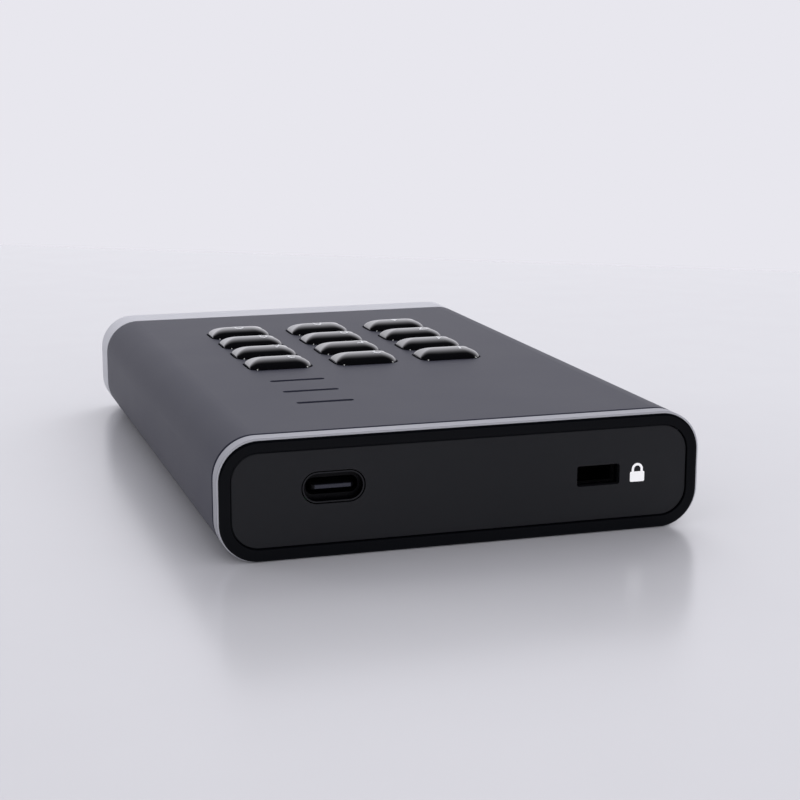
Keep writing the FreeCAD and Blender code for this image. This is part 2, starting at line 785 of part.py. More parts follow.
def make_parts():
    parts = {
        "sleeve": make_sleeve(),
        "front_collar": make_front_collar(),
        "front_bezel": make_front_bezel(),
        "front_panel": make_front_panel(),
        "front_seal": make_seal(collar_rear_y),
        "rear_seal": make_seal(sleeve_rear_y),
        "rear_cap": make_rear_cap(),
        "lock_plate": make_lock_plate(),
        "usb_shell": make_usb_shell(),
        "usb_insert": make_usb_insert(),
        "key_mat": make_key_mat(),
        "snap_domes": make_snap_domes(),
        "keypad_board": make_keypad_board(),
        "storage_module": make_storage_module(),
        "drive_tray": make_drive_tray(),
        "shock_pads": make_shock_pads(),
        "rear_bumper": make_rear_bumper(),
        "main_board": make_main_board(),
        "link_socket": make_link_socket(),
        "board_header": make_board_header(),
        "board_socket": make_board_socket(),
        "bridge_chip": block_at(bridge_x, chip_row_y, bridge_side, bridge_side, main_board_top, chip_height),
        "guard_chip": block_at(guard_x, chip_row_y, guard_side, guard_side, main_board_top, chip_height),
        "crystal": block_at(crystal_x, chip_row_y, crystal_length, crystal_width,
                            main_board_top, chip_height),
        "choke": block_at(choke_x, choke_y, choke_side, choke_side, main_board_top, choke_height),
        "capacitors": make_capacitors(),
        "board_screws": make_board_screws(),
        "keypad_screws": make_keypad_screws(),
        "bezel_screws": make_bezel_screws(),
    }
    key_names = ["1", "2", "3", "4", "5", "6", "7", "8", "9", "shift", "0", "unlock"]
    for name, (x, y) in zip(key_names, key_spots):
        parts["key_" + name] = make_key(x, y)
    for colour, y in zip(("red", "green", "blue"), light_ys):
        parts["light_pipe_" + colour] = make_light_pipe(y)
        parts["lamp_" + colour] = make_lamp(y)
    return parts


def main():
    os.makedirs("parts", exist_ok=True)
    for name, shape in make_parts().items():
        shape.exportStep(os.path.join("parts", name + ".step"))


main()
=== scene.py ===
import math

import bmesh
import bpy
from mathutils import Matrix, Vector


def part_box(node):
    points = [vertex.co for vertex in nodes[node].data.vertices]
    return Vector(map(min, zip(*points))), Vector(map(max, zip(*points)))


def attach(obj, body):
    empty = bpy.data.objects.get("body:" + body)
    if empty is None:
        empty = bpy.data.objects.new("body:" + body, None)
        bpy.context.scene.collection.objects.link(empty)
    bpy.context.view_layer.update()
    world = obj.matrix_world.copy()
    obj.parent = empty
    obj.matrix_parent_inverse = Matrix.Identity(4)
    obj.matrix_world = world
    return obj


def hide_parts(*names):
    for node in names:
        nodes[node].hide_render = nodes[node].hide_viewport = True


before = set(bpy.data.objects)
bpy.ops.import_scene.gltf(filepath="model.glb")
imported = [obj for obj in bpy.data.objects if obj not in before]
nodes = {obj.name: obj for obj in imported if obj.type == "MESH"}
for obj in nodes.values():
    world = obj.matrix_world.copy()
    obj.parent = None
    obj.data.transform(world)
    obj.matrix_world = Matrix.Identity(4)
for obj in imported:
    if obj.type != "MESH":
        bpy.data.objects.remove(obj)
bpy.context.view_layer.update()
mm = 0.001  # metres
print("frame loaded:", len(nodes), "nodes")


def screenColour(red, green, blue):
    # 0-255 screen values to the linear colour that a shader takes
    def channel(value):
        value /= 255
        return value / 12.92 if value <= 0.04045 else ((value + 0.055) / 1.055) ** 2.4
    return (channel(red), channel(green), channel(blue), 1)


# Shared effects

noiseBand = (0.3, 0.7)  # where most of a noise's values lie
surfaceOutputs = ["Roughness", "Height", "Mask"]
grainScales = {"Grain Scale": 9000, "Drift Scale": 60}  # marks per metre, as in the next two
smudgeScales = {"Smudge Scale": 220, "Speck Scale": 2600}
brushScales = {"Line Scale": 3000, "Drift Scale": 150}


def newGroup(name, inputs, outputs):
    group = bpy.data.node_groups.new(name, "ShaderNodeTree")
    for label, value in inputs.items():
        socket = group.interface.new_socket(label, in_out="INPUT", socket_type="NodeSocketFloat")
        socket.default_value = value
    for label in outputs:
        group.interface.new_socket(label, in_out="OUTPUT", socket_type="NodeSocketFloat")
    return group, group.nodes.new("NodeGroupInput"), group.nodes.new("NodeGroupOutput")


def addNoise(group, start, scaleSocket, detail, stretch=(1, 1, 1)):
    coords = group.nodes.new("ShaderNodeTexCoord")
    mapping = group.nodes.new("ShaderNodeMapping")
    mapping.inputs["Scale"].default_value = stretch
    noise = group.nodes.new("ShaderNodeTexNoise")
    noise.inputs["Detail"].default_value = detail
    group.links.new(coords.outputs["Object"], mapping.inputs["Vector"])
    group.links.new(mapping.outputs["Vector"], noise.inputs["Vector"])
    group.links.new(start.outputs[scaleSocket], noise.inputs["Scale"])
    return noise.outputs["Fac"]


def endGroup(group, start, end, rough, height, mask):
    # one noise is spread between the material's two roughnesses, the others go out as they are
    spread = group.nodes.new("ShaderNodeMapRange")
    spread.inputs["From Min"].default_value, spread.inputs["From Max"].default_value = noiseBand
    group.links.new(rough, spread.inputs["Value"])
    group.links.new(start.outputs["Rough Low"], spread.inputs["To Min"])
    group.links.new(start.outputs["Rough High"], spread.inputs["To Max"])
    group.links.new(spread.outputs["Result"], end.inputs["Roughness"])
    group.links.new(height, end.inputs["Height"])
    group.links.new(mask, end.inputs["Mask"])


def makeGrainGroup():
    # fine even grain with a slow drift: blasted metal, moulded plastic, rubber, board lacquer
    inputs = {**grainScales, "Rough Low": 0.4, "Rough High": 0.5}
    group, start, end = newGroup("fineGrain", inputs, surfaceOutputs)
    grain = addNoise(group, start, "Grain Scale", detail=3)
    drift = addNoise(group, start, "Drift Scale", detail=2)
    endGroup(group, start, end, rough=drift, height=grain, mask=drift)
    return group


def makeSmudgeGroup():
    # faint handling marks on polished faces
    inputs = {**smudgeScales, "Rough Low": 0.06, "Rough High": 0.14}
    group, start, end = newGroup("smudges", inputs, surfaceOutputs)
    smudge = addNoise(group, start, "Smudge Scale", detail=4, stretch=(1, 0.6, 1))
    speck = addNoise(group, start, "Speck Scale", detail=2)
    endGroup(group, start, end, rough=smudge, height=speck, mask=smudge)
    return group


def makeBrushGroup():
    # drawn lines that run along X
    inputs = {**brushScales, "Rough Low": 0.25, "Rough High": 0.4}
    group, start, end = newGroup("brushedLines", inputs, surfaceOutputs)
    lines = addNoise(group, start, "Line Scale", detail=3, stretch=(0.03, 1, 1))
    drift = addNoise(group, start, "Drift Scale", detail=2)
    endGroup(group, start, end, rough=lines, height=lines, mask=drift)
    return group


def makeShadeFadeGroup():
    # mask of the painted shade in the socket: 1 at the front end of a piece, 0 from a given depth behind it
    group, start, end = newGroup("paintedShadeFade", {"Front": 0, "Depth": 0}, ["Mask"])
    coords = group.nodes.new("ShaderNodeTexCoord")
    parts = group.nodes.new("ShaderNodeSeparateXYZ")
    behind = group.nodes.new("ShaderNodeMath")
    behind.operation = "SUBTRACT"
    fade = group.nodes.new("ShaderNodeMapRange")
    fade.inputs["To Min"].default_value, fade.inputs["To Max"].default_value = 1, 0
    group.links.new(coords.outputs["Object"], parts.inputs["Vector"])
    group.links.new(parts.outputs["Y"], behind.inputs[0])
    group.links.new(start.outputs["Front"], behind.inputs[1])
    group.links.new(behind.outputs["Value"], fade.inputs["Value"])
    group.links.new(start.outputs["Depth"], fade.inputs["From Max"])
    group.links.new(fade.outputs["Result"], end.inputs["Mask"])
    return group


fineGrain = makeGrainGroup()
smudges = makeSmudgeGroup()
brushedLines = makeBrushGroup()
paintedShadeFade = makeShadeFadeGroup()


# Finishes

def makeFinish(name, look):
    # one Principled material: two close tints by the effect's mask, its roughness, and a bump from its height
    material = bpy.data.materials.new(name)
    material.use_nodes = True
    tree = material.node_tree
    shader = tree.nodes["Principled BSDF"]
    effect = tree.nodes.new("ShaderNodeGroup")
    effect.node_tree = look["effect"]
    for label, value in look["effectValues"].items():
        effect.inputs[label].default_value = value
    tint = tree.nodes.new("ShaderNodeMix")
    tint.data_type = "RGBA"
    tint.inputs["A"].default_value = look["darkTint"]
    tint.inputs["B"].default_value = look["paleTint"]
    bump = tree.nodes.new("ShaderNodeBump")
    bump.inputs["Strength"].default_value = look["bump"]
    bump.inputs["Distance"].default_value = look["bumpDepth"]
    tree.links.new(effect.outputs["Mask"], tint.inputs["Factor"])
    tree.links.new(tint.outputs["Result"], shader.inputs["Base Color"])
    tree.links.new(effect.outputs["Roughness"], shader.inputs["Roughness"])
    tree.links.new(effect.outputs["Height"], bump.inputs["Height"])
    tree.links.new(bump.outputs["Normal"], shader.inputs["Normal"])
    for label, value in look["shader"].items():
        shader.inputs[label].default_value = value
    return material


def paintShadeBehind(material, values):
    # painted shade: a piece deep in the socket keeps its tint at the front end only and is painted near-black
    # behind it, standing in for the socket's shade
    tree = material.node_tree
    shader = tree.nodes["Principled BSDF"]
    tint = shader.inputs["Base Color"].links[0].from_socket
    fade = tree.nodes.new("ShaderNodeGroup")
    fade.node_tree = paintedShadeFade
    fade.inputs["Front"].default_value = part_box(values["node"])[0][1]
    fade.inputs["Depth"].default_value = values["depth"] * mm
    blend = tree.nodes.new("ShaderNodeMix")
    blend.data_type = "RGBA"
    blend.inputs["A"].default_value = screenColour(*values["paintedShade"])
    tree.links.new(fade.outputs["Mask"], blend.inputs["Factor"])
    tree.links.new(tint, blend.inputs["B"])
    tree.links.new(blend.outputs["Result"], shader.inputs["Base Color"])


bumpDepths = {"grain": 0.02, "polish": 0.01, "brush": 0.01}  # millimetres


def surfaceLook(effect, scales, tints, roughness, bump, depth, shader):
    # what makeFinish asks for; the labels of the shader's own values come with _ in place of blanks
    dark, pale = tints
    low, high = roughness
    return {
        "effect": effect, "effectValues": {**scales, "Rough Low": low, "Rough High": high},
        "darkTint": screenColour(*dark), "paleTint": screenColour(*pale),
        "bump": bump, "bumpDepth": depth * mm,
        "shader": {label.replace("_", " "): value for label, value in shader.items()},
    }


def grainLook(dark, pale, low, high, bump=0.15, grain=grainScales["Grain Scale"], **shader):
    scales, depth = {**grainScales, "Grain Scale": grain}, bumpDepths["grain"]
    return surfaceLook(fineGrain, scales, (dark, pale), (low, high), bump, depth, shader)


def polishLook(dark, pale, low, high, bump=0.03, **shader):
    depth = bumpDepths["polish"]
    return surfaceLook(smudges, smudgeScales, (dark, pale), (low, high), bump, depth, shader)


def brushLook(dark, pale, low, high, bump=0.1, **shader):
    depth = bumpDepths["brush"]
    return surfaceLook(brushedLines, brushScales, (dark, pale), (low, high), bump, depth, shader)


finishes = {  # dark and pale tint in screen values, lowest and highest roughness
    "greyShell": grainLook((51, 52, 64), (54, 55, 68), 0.44, 0.46, Metallic=0.1, Specular_IOR_Level=0.14),
    "silverTrim": grainLook((148, 149, 156), (156, 157, 164), 0.38, 0.44, Metallic=0.4),
    # paler copy of the silver trim for the rear cap and the collar's front face: painted light, the same
    # metal made lighter where more light falls
    "silverLitCopy": grainLook((184, 185, 191), (192, 193, 199), 0.38, 0.44, Metallic=0.4),
    "blackGloss": polishLook((5, 6, 9), (7, 8, 11), 0.08, 0.13, Specular_IOR_Level=0.11),
    "keyGloss": polishLook((3, 3, 5), (4, 4, 6), 0.06, 0.1, Specular_IOR_Level=0.65,
                           Coat_Weight=1.0, Coat_Roughness=0.05),
    "charcoal": grainLook((17, 18, 22), (21, 22, 26), 0.5, 0.58, bump=0.2, grain=7000),
    "darkSeal": grainLook((44, 45, 51), (50, 51, 58), 0.6, 0.7),
    "steel": brushLook((150, 150, 154), (170, 170, 174), 0.25, 0.38, Metallic=1.0),
    "socketSteel": brushLook((30, 30, 33), (36, 36, 39), 0.3, 0.42, Specular_IOR_Level=0.15),
    # bluish grey paler than the insert's black plastic, so that the tip shows as the lit bar: painted
    # highlight
    "tongueGrey": grainLook((40, 41, 51), (45, 46, 56), 0.4, 0.5),
    "blackMoulding": grainLook((24, 24, 26), (30, 30, 32), 0.45, 0.6),
    "silicone": grainLook((140, 140, 143), (150, 150, 153), 0.55, 0.65),
    "boardLacquer": grainLook((16, 74, 42), (24, 90, 52), 0.25, 0.35, grain=1400),
    "moduleCase": brushLook((110, 110, 114), (126, 126, 130), 0.35, 0.45, Metallic=0.9),
    "foam": grainLook((52, 52, 54), (66, 66, 68), 0.8, 0.95, bump=0.8, grain=3000),
    "chipEpoxy": grainLook((26, 26, 28), (32, 32, 34), 0.5, 0.6),
    "ceramic": grainLook((150, 116, 84), (164, 130, 98), 0.4, 0.5),
    "smokedLens": polishLook((22, 22, 26), (28, 28, 32), 0.1, 0.16),
    "lampRed": polishLook((170, 40, 36), (190, 56, 50), 0.2, 0.3),
    "lampGreen": polishLook((40, 150, 60), (56, 170, 76), 0.2, 0.3),
    "lampBlue": polishLook((40, 70, 170), (56, 90, 190), 0.2, 0.3),
    "signWhite": grainLook((244, 244, 244), (250, 250, 250), 0.5, 0.6),
    "legendGrey": grainLook((196, 197, 200), (206, 207, 210), 0.4, 0.5),
}
# painted shade deep in the socket: how far behind the front end it starts, and its near-black tint
socketPaintedShade = {  # depth in millimetres, the deep tint in screen values
    "socketSteel": {"node": "usb_shell", "depth": 0.15, "paintedShade": (3, 3, 5)},
    "tongueGrey": {"node": "usb_insert", "depth": 0.12, "paintedShade": (5, 5, 8)},
}
materials = {name: makeFinish(name, look) for name, look in finishes.items()}
for finishName, depthValues in socketPaintedShade.items():
    paintShadeBehind(materials[finishName], depthValues)

# which finish each piece of the frame wears: the first entry that the piece's name starts with
nodeFinish = {
    "sleeve": "greyShell", "front_collar": "silverTrim", "rear_cap": "silverLitCopy",
    "front_bezel": "blackGloss", "front_panel": "charcoal", "front_seal": "darkSeal",
    "rear_seal": "darkSeal", "lock_plate": "steel", "usb_shell": "socketSteel",
    "usb_insert": "tongueGrey", "key_mat": "silicone", "key_": "keyGloss", "snap_domes": "steel",
    "keypad_board": "boardLacquer", "main_board": "boardLacquer", "storage_module": "moduleCase",
    "drive_tray": "blackMoulding", "shock_pads": "foam", "rear_bumper": "foam",
    "link_socket": "blackMoulding", "board_header": "blackMoulding", "board_socket": "blackMoulding",
    "bridge_chip": "chipEpoxy", "guard_chip": "chipEpoxy", "crystal": "steel", "choke": "chipEpoxy",
    "capacitors": "ceramic", "board_screws": "steel", "keypad_screws": "steel", "bezel_screws": "steel",
    "light_pipe": "smokedLens", "lamp_red": "lampRed", "lamp_green": "lampGreen", "lamp_blue": "lampBlue",
}


def paintNodes():
    for name, node in nodes.items():
        start = next(key for key in nodeFinish if name.startswith(key))
        for slot in node.material_slots:
            slot.material = materials[nodeFinish[start]]


paintNodes()
print("finishes set:", len(finishes))


# Shapes that several pieces use

def newPiece(name, shape, finish, body):
    mesh = bpy.data.meshes.new(name)
    shape.to_mesh(mesh)
    shape.free()
    mesh.materials.append(materials[finish])
    piece = bpy.data.objects.new(name, mesh)
    bpy.context.scene.collection.objects.link(piece)
    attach(piece, body)
    return piece


def roundedPlate(across, along, corner, steps):
    # flat rounded rectangle about the origin, from a grid whose four corners are bevelled
    shape = bmesh.new()
    bmesh.ops.create_grid(shape, x_segments=1, y_segments=1, size=0.5)
    bmesh.ops.scale(shape, vec=(across, along, 1), verts=shape.verts)
    bmesh.ops.bevel(shape, geom=shape.verts[:], offset=corner, offset_type="OFFSET", affect="VERTICES",
                    segments=steps, profile=0.5, material=-1)
    return shape


# Keys

keyShape = {  # millimetres
    "across": 11.6, "along": 8.2, "corner": 2.2, "cornerSteps": 8, "sideSteps": 10,
    "runAcross": 3.4, "runAlong": 3.98,  # how far the shoulders reach in from the edges
    "swellAcross": 1.92, "swellAlong": 1.58,  # 2 is a quarter of an ellipse, 1 a straight bevel
    "rise": 1.608, "rings": 14, "skirt": 1.9,
}
legend = {  # millimetres
    "digitHeight": 2.8, "digitPlace": 2.4,
    "stand": 0.012,  # height over the key
    "bands": 0.15, "merge": 0.001, "cutReach": 0.0001,
    "arrow": [(-1.0, 0), (0, 1.15), (1.0, 0), (0.42, 0), (0.42, -1.0), (-0.42, -1.0), (-0.42, 0)],
}
keyNames = ["1", "2", "3", "4", "5", "6", "7", "8", "9", "shift", "0", "unlock"]
keyCaps = bpy.data.collections.new("keyCaps")  # what the strip lamps light


def keyEdge(name):
    # middle of a key at the height where its cushion starts
    low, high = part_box("key_" + name)
    edgeZ = high[2] - (keyShape["rise"] + legend["stand"]) * mm
    return (low[0] + high[0]) / 2, (low[1] + high[1]) / 2, edgeZ


def makeKey(name):
    # rounded plan raised ring by ring to a cushion, with a skirt that goes down into the opening
    across, along = keyShape["across"], keyShape["along"]
    shape = roundedPlate(across, along, keyShape["corner"], keyShape["cornerSteps"])
    sides = [edge for edge in shape.edges if edge.calc_length() > keyShape["corner"]]
    bmesh.ops.subdivide_edges(shape, edges=sides, cuts=keyShape["sideSteps"] - 1)
    bmesh.ops.translate(shape, vec=(0, 0, -keyShape["skirt"]), verts=shape.verts)
    top = shape.faces[:]
    lastX, lastY, lastZ = 1, 1, -keyShape["skirt"]
    for ring in range(keyShape["rings"] + 1):
        level = math.sin(math.pi / 2 * ring / keyShape["rings"])
        inX, inY = (1 - (1 - level ** swell) ** (1 / swell)
                    for swell in (keyShape["swellAcross"], keyShape["swellAlong"]))
        scaleX = 1 - 2 * inX * keyShape["runAcross"] / across
        scaleY = 1 - 2 * inY * keyShape["runAlong"] / along
        height = level * keyShape["rise"]
        grown = bmesh.ops.extrude_face_region(shape, geom=top)["geom"]
        if ring > 0:
            bmesh.ops.delete(shape, geom=top, context="FACES_ONLY")
        top = [item for item in grown if isinstance(item, bmesh.types.BMFace)]
        edge = [item for item in grown if isinstance(item, bmesh.types.BMVert)]
        bmesh.ops.scale(shape, vec=(scaleX / lastX, scaleY / lastY, 1), verts=edge)
        bmesh.ops.translate(shape, vec=(0, 0, height - lastZ), verts=edge)
        lastX, lastY, lastZ = scaleX, scaleY, height
    bmesh.ops.recalc_face_normals(shape, faces=shape.faces)
    for face in shape.faces:
        face.smooth = True
    bmesh.ops.scale(shape, vec=(mm, mm, mm), verts=shape.verts)
    bmesh.ops.translate(shape, vec=keyEdge(name), verts=shape.verts)
    key = newPiece("keyCap_" + name, shape, "keyGloss", "button_" + name)
    keyCaps.objects.link(key)
    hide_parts("key_" + name)


for keyName in keyNames:
    makeKey(keyName)
print("keys made:", len(keyNames))


# Front trim

bodyEnd = {  # millimetres, as in the frame
    "across": 80.0, "high": 19.4, "corner": 6.6,  # outline of the body
    "front": -62.0, "lip": 0.4,  # the bezel's front, and how far the collar's lies behind it
    "chamfer": 0.2, "bezelInset": 0.2,
}
trimLimits = {
    "merge": 0.001, "near": 0.02,  # millimetres that count as none
    "turn": 0.5,  # degrees, faces that turn less are merged
    "flat": 0.97,  # share of its direction that a flat end has along Y, at least
    "upright": 0.1,  # share that a wall has along Y, at most; a rounded strip has more
    "wall": 0.2,  # share that walls and strips have square to the outline, at least
}


def outward(place):
    # direction square to the body's outline near a point, and how far the point lies inside that outline
    reachX = (bodyEnd["across"] / 2 - bodyEnd["corner"]) * mm
    lowZ, highZ = bodyEnd["corner"] * mm, (bodyEnd["high"] - bodyEnd["corner"]) * mm
    core = Vector((max(-reachX, min(reachX, place.x)), 0, max(lowZ, min(highZ, place.z))))
    away = Vector((place.x - core.x, 0, place.z - core.z))
    return away.normalized(), bodyEnd["corner"] * mm - away.length


def mergedCopy(name):
    shape = bmesh.new()
    shape.from_mesh(nodes[name].data)
    bmesh.ops.remove_doubles(shape, verts=shape.verts, dist=trimLimits["merge"] * mm)
    bmesh.ops.dissolve_limit(shape, angle_limit=math.radians(trimLimits["turn"]), verts=shape.verts,
                             edges=shape.edges)
    return shape


def setInset(vert, inset):
    away, inside = outward(vert.co)
    vert.co += away * (inside - inset * mm)


def nearly(value, target):
    return abs(value - target * mm) < trimLimits["near"] * mm


def trimNormals(piece):
    # walls that follow the outline take its true direction, rounded strips lean from it, flat faces stay flat
    mesh = piece.data
    turned = []
    for face in mesh.polygons:
        alongY = abs(face.normal.y)
        for corner in face.loop_indices:
            vert = mesh.vertices[mesh.loops[corner].vertex_index]
            away = outward(vert.co)[0]
            square = away.dot(face.normal)
            lean = vert.normal.y if trimLimits["upright"] < alongY < trimLimits["flat"] else 0
            if alongY >= trimLimits["flat"] or abs(square) < trimLimits["wall"]:
                turned.append(face.normal.copy())
            else:
                side = math.copysign(math.sqrt(1 - lean * lean), square)
                turned.append(away * side + Vector((0, lean, 0)))
    for face in mesh.polygons:
        face.use_smooth = True
    mesh.normals_split_custom_set(turned)


collarTrim = {"chamfer": 0.05}  # millimetres


def makeCollar():
    # the silver band, with a nearly sharp front edge and a front face in a paler copy of the same silver:
    # painted light
    edgeY = bodyEnd["front"] + bodyEnd["lip"]
    shape = mergedCopy("front_collar")
    for vert in shape.verts:
        inside = outward(vert.co)[1]
        if nearly(vert.co.y, edgeY) and nearly(inside, bodyEnd["chamfer"]):
            setInset(vert, collarTrim["chamfer"])
        elif nearly(vert.co.y, edgeY + bodyEnd["chamfer"]) and nearly(inside, 0):
            vert.co.y = (edgeY + collarTrim["chamfer"]) * mm
    for face in shape.faces:
        face.normal_update()
        # faces turned to the front take the paler silver copy: painted light
        face.material_index = 1 if face.normal.y < -trimLimits["flat"] else 0
    collar = newPiece("collarBand", shape, "silverTrim", "housing")
    collar.data.materials.append(materials["silverLitCopy"])
    trimNormals(collar)
    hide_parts("front_collar")


bezelTrim = {  # millimetres
    "gap": 0.3,  # ledge between the outline and the bezel, above and at the sides
    "seat": 0.2,  # how much narrower the ledge is below
    "chamfer": 0.22, "round": 0.12, "roundSteps": 3,
    "sharp": 25,  # degrees, edges that turn more are rounded
    "ledgeReach": 0.05,  # how far behind the collar's front the ledge is dressed
    "roundReach": 0.1,  # how far before it the rounded edges lie, at least
}


def makeBezel():
    # the black frame, its outer and pocket edges rounded so that they catch a line of light
    edgeY = bodyEnd["front"] + bodyEnd["lip"]
    shape = mergedCopy("front_bezel")
    for vert in shape.verts:
        away, inside = outward(vert.co)
        outer = nearly(inside, bodyEnd["bezelInset"])
        inner = nearly(inside, bodyEnd["bezelInset"] + bodyEnd["chamfer"])
        if vert.co.y < (edgeY + bezelTrim["ledgeReach"]) * mm and (outer or inner):
            gap = bezelTrim["gap"] + bezelTrim["seat"] * min(0, away.z)
            setInset(vert, gap if outer else gap + bezelTrim["chamfer"])
    frontEdges = [edge for edge in shape.edges if len(edge.link_faces) == 2
                  and edge.calc_face_angle_signed(0) > math.radians(bezelTrim["sharp"])
                  and max(vert.co.y for vert in edge.verts) < (edgeY - bezelTrim["roundReach"]) * mm]
    bmesh.ops.bevel(shape, geom=frontEdges, offset=bezelTrim["round"] * mm, offset_type="OFFSET",
                    affect="EDGES", segments=bezelTrim["roundSteps"], profile=0.5, material=-1,
                    clamp_overlap=True)
    bezel = newPiece("bezelFrame", shape, "blackGloss", "housing")
    trimNormals(bezel)
    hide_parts("front_bezel")


tongueTrim = {"chamfer": 0.1}  # millimetres


def makeTongue():
    # the tongue in the plug socket, its tip chamfered above and below
    shape = mergedCopy("usb_insert")
    tip = min(vert.co.y for vert in shape.verts)
    tipEdges = [edge for edge in shape.edges if all(nearly(vert.co.y - tip, 0) for vert in edge.verts)
                and nearly(edge.verts[0].co.z - edge.verts[1].co.z, 0)]
    bmesh.ops.bevel(shape, geom=tipEdges, offset=tongueTrim["chamfer"] * mm, offset_type="OFFSET",
                    affect="EDGES", segments=1, profile=0.5, material=-1)
    tongue = newPiece("tongueBlade", shape, "tongueGrey", "housing")
    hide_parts("usb_insert")


makeCollar()
makeBezel()
makeTongue()
print("front trim made")


# Prints

padlock = {  # millimetres
    "middle": 29.2, "foot": 8.07, "across": 2.52, "high": 1.7, "corner": 0.22, "cornerSteps": 5,
    "bow": 1.96, "bar": 0.41, "leg": 0.4, "bowSteps": 20, "thick": 0.03, "stand": 0.02,
    "openLeg": 0.2,  # share of the free leg that an open padlock keeps
}


def padlockShape(values, opened=False):
    # body plate and a bow of flat bar on top, about the middle of the body's top edge
    shape = roundedPlate(values["across"], values["high"], values["corner"], values["cornerSteps"])
    bmesh.ops.translate(shape, vec=(0, -values["high"] / 2, 0), verts=shape.verts)
    outer = values["bow"] / 2
    inner = outer - values["bar"]
    bow = [shape.verts.new((radius, values["leg"], 0)) for radius in (inner, outer)]
    first = shape.edges.new(bow)
    turned = bmesh.ops.spin(shape, geom=bow + [first], cent=(0, values["leg"], 0), axis=(0, 0, 1),
                            angle=math.pi, steps=values["bowSteps"], use_merge=False)["geom_last"]
    last = next(item for item in turned if isinstance(item, bmesh.types.BMEdge))
    freeLeg = values["leg"] * (values["openLeg"] if opened else 1)
    for end, reach in ((first, values["leg"]), (last, freeLeg)):
        grown = bmesh.ops.extrude_edge_only(shape, edges=[end])["geom"]
        foot = [item for item in grown if isinstance(item, bmesh.types.BMVert)]
        bmesh.ops.translate(shape, vec=(0, -reach, 0), verts=foot)
    return shape


def makeSign():
    # the lock sign beside the slot, a print of its own thickness on the panel
    shape = padlockShape(padlock)
    bmesh.ops.recalc_face_normals(shape, faces=shape.faces)
    bmesh.ops.solidify(shape, geom=shape.faces[:], thickness=padlock["thick"])
    bmesh.ops.rotate(shape, cent=(0, 0, 0), matrix=Matrix.Rotation(math.pi / 2, 3, "X"), verts=shape.verts)
    bmesh.ops.scale(shape, vec=(mm, mm, mm), verts=shape.verts)
    nearest = min(vert.co.y for vert in shape.verts)
    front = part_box("front_panel")[0][1]
    place = (padlock["middle"] * mm, front - padlock["stand"] * mm - nearest,
             (padlock["foot"] + padlock["high"]) * mm)
    bmesh.ops.translate(shape, vec=place, verts=shape.verts)
    bmesh.ops.recalc_face_normals(shape, faces=shape.faces)
    newPiece("lockSign", shape, "signWhite", "housing")


def digitShape(digit, height):
    # a digit of the font that Blender comes with, flat and about its own middle
    text = bpy.data.curves.new("legendText", "FONT")
    text.body = digit
    text.align_x, text.align_y = "CENTER", "CENTER"
    holder = bpy.data.objects.new("legendText", text)
    mesh = bpy.data.meshes.new_from_object(holder)
    shape = bmesh.new()
    shape.from_mesh(mesh)
    bpy.data.objects.remove(holder)
    bpy.data.curves.remove(text)
    bpy.data.meshes.remove(mesh)
    lows, highs = ([pick(vert.co[axis] for vert in shape.verts) for axis in (0, 1)] for pick in (min, max))
    middle = [-(low + high) / 2 for low, high in zip(lows, highs)]
    bmesh.ops.translate(shape, vec=(*middle, 0), verts=shape.verts)
    bmesh.ops.scale(shape, vec=(height / (highs[1] - lows[1]),) * 3, verts=shape.verts)
    return shape


def arrowShape():
    shape = bmesh.new()
    shape.faces.new([shape.verts.new((x, y, 0)) for x, y in legend["arrow"]])
    return shape


def shoulder(place, size, run, swell):
    # share of a cushion's rise at a distance from its middle
    inward = min(1, (size / 2 - abs(place)) / run)
    return (1 - (1 - inward) ** swell) ** (1 / swell)


def makeLegend(name):
    # print that follows the cushion: cut into bands across the key, then laid on its curve
    if name == "shift":
        shape = arrowShape()
    elif name == "unlock":
        shape = padlockShape(padlock, opened=True)
    else:
        shape = digitShape(name, legend["digitHeight"])
        if name != "0":
            bmesh.ops.translate(shape, vec=(-legend["digitPlace"], 0, 0), verts=shape.verts)
    bmesh.ops.remove_doubles(shape, verts=shape.verts, dist=legend["merge"])
    bmesh.ops.triangulate(shape, faces=shape.faces)
    reach = max(abs(vert.co.y) for vert in shape.verts)
    cuts = int(reach / legend["bands"])
    for cut in range(-cuts, cuts + 1):
        bmesh.ops.bisect_plane(shape, geom=shape.verts[:] + shape.edges[:] + shape.faces[:],
                               plane_co=(0, cut * legend["bands"], 0), plane_no=(0, 1, 0),
                               dist=legend["cutReach"])
    for vert in shape.verts:
        lift = min(shoulder(vert.co.x, keyShape["across"], keyShape["runAcross"], keyShape["swellAcross"]),
                   shoulder(vert.co.y, keyShape["along"], keyShape["runAlong"], keyShape["swellAlong"]))
        vert.co.z = keyShape["rise"] * lift + legend["stand"]
    bmesh.ops.recalc_face_normals(shape, faces=shape.faces)
    if sum(face.normal.z for face in shape.faces) < 0:
        bmesh.ops.reverse_faces(shape, faces=shape.faces)
    bmesh.ops.rotate(shape, cent=(0, 0, 0), matrix=Matrix.Rotation(math.pi, 3, "Z"), verts=shape.verts)
    bmesh.ops.scale(shape, vec=(mm, mm, mm), verts=shape.verts)
    bmesh.ops.translate(shape, vec=keyEdge(name), verts=shape.verts)
    newPiece("legend_" + name, shape, "legendGrey", "button_" + name)


makeSign()
for keyName in keyNames:
    makeLegend(keyName)
print("sign and legends printed")


# Stage

floorLook = {
    "dark": (193, 193, 196), "pale": (195, 195, 198), "roughness": (0.216, 0.224), "grain": 400,
    "size": 6.0,  # metres
    "farEdge": ((-36, 365), (214, 210)),  # millimetres, two points of the line where the floor ends
}


